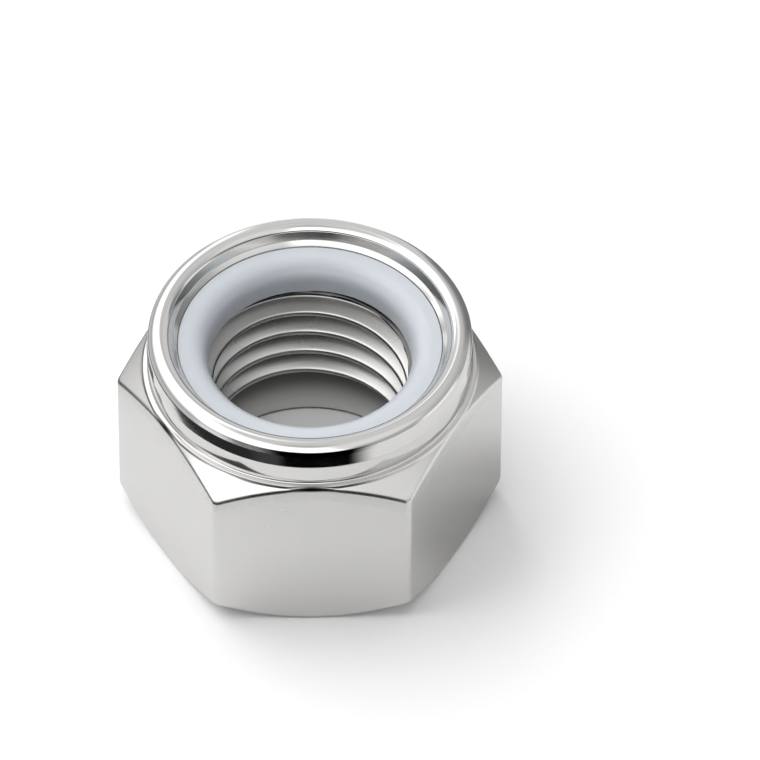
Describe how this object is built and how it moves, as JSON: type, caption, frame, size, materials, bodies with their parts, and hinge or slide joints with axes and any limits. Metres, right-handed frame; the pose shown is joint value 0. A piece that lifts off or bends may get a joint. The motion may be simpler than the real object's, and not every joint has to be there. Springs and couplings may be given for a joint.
{
  "type": "nylon insert lock nut",
  "caption": "Hexagon lock nut with a tall rolled collar that holds a nylon ring above its thread.",
  "frame": {"origin": "centre of the bearing face", "axes": "+Z along the thread's axis towards the nylon ring; one flat of the hexagon faces -Y and two corners lie on the X axis"},
  "size_m": [0.0276, 0.024, 0.0174],
  "materials": {
    "body_metal": "bright polished, with satin flats",
    "ring_nylon": "natural nylon, pale blue-grey, slightly glossy"
  },
  "bodies": {
    "root": {"hex_body": "body_metal", "nylon_ring": "ring_nylon"}
  },
  "joints": []
}
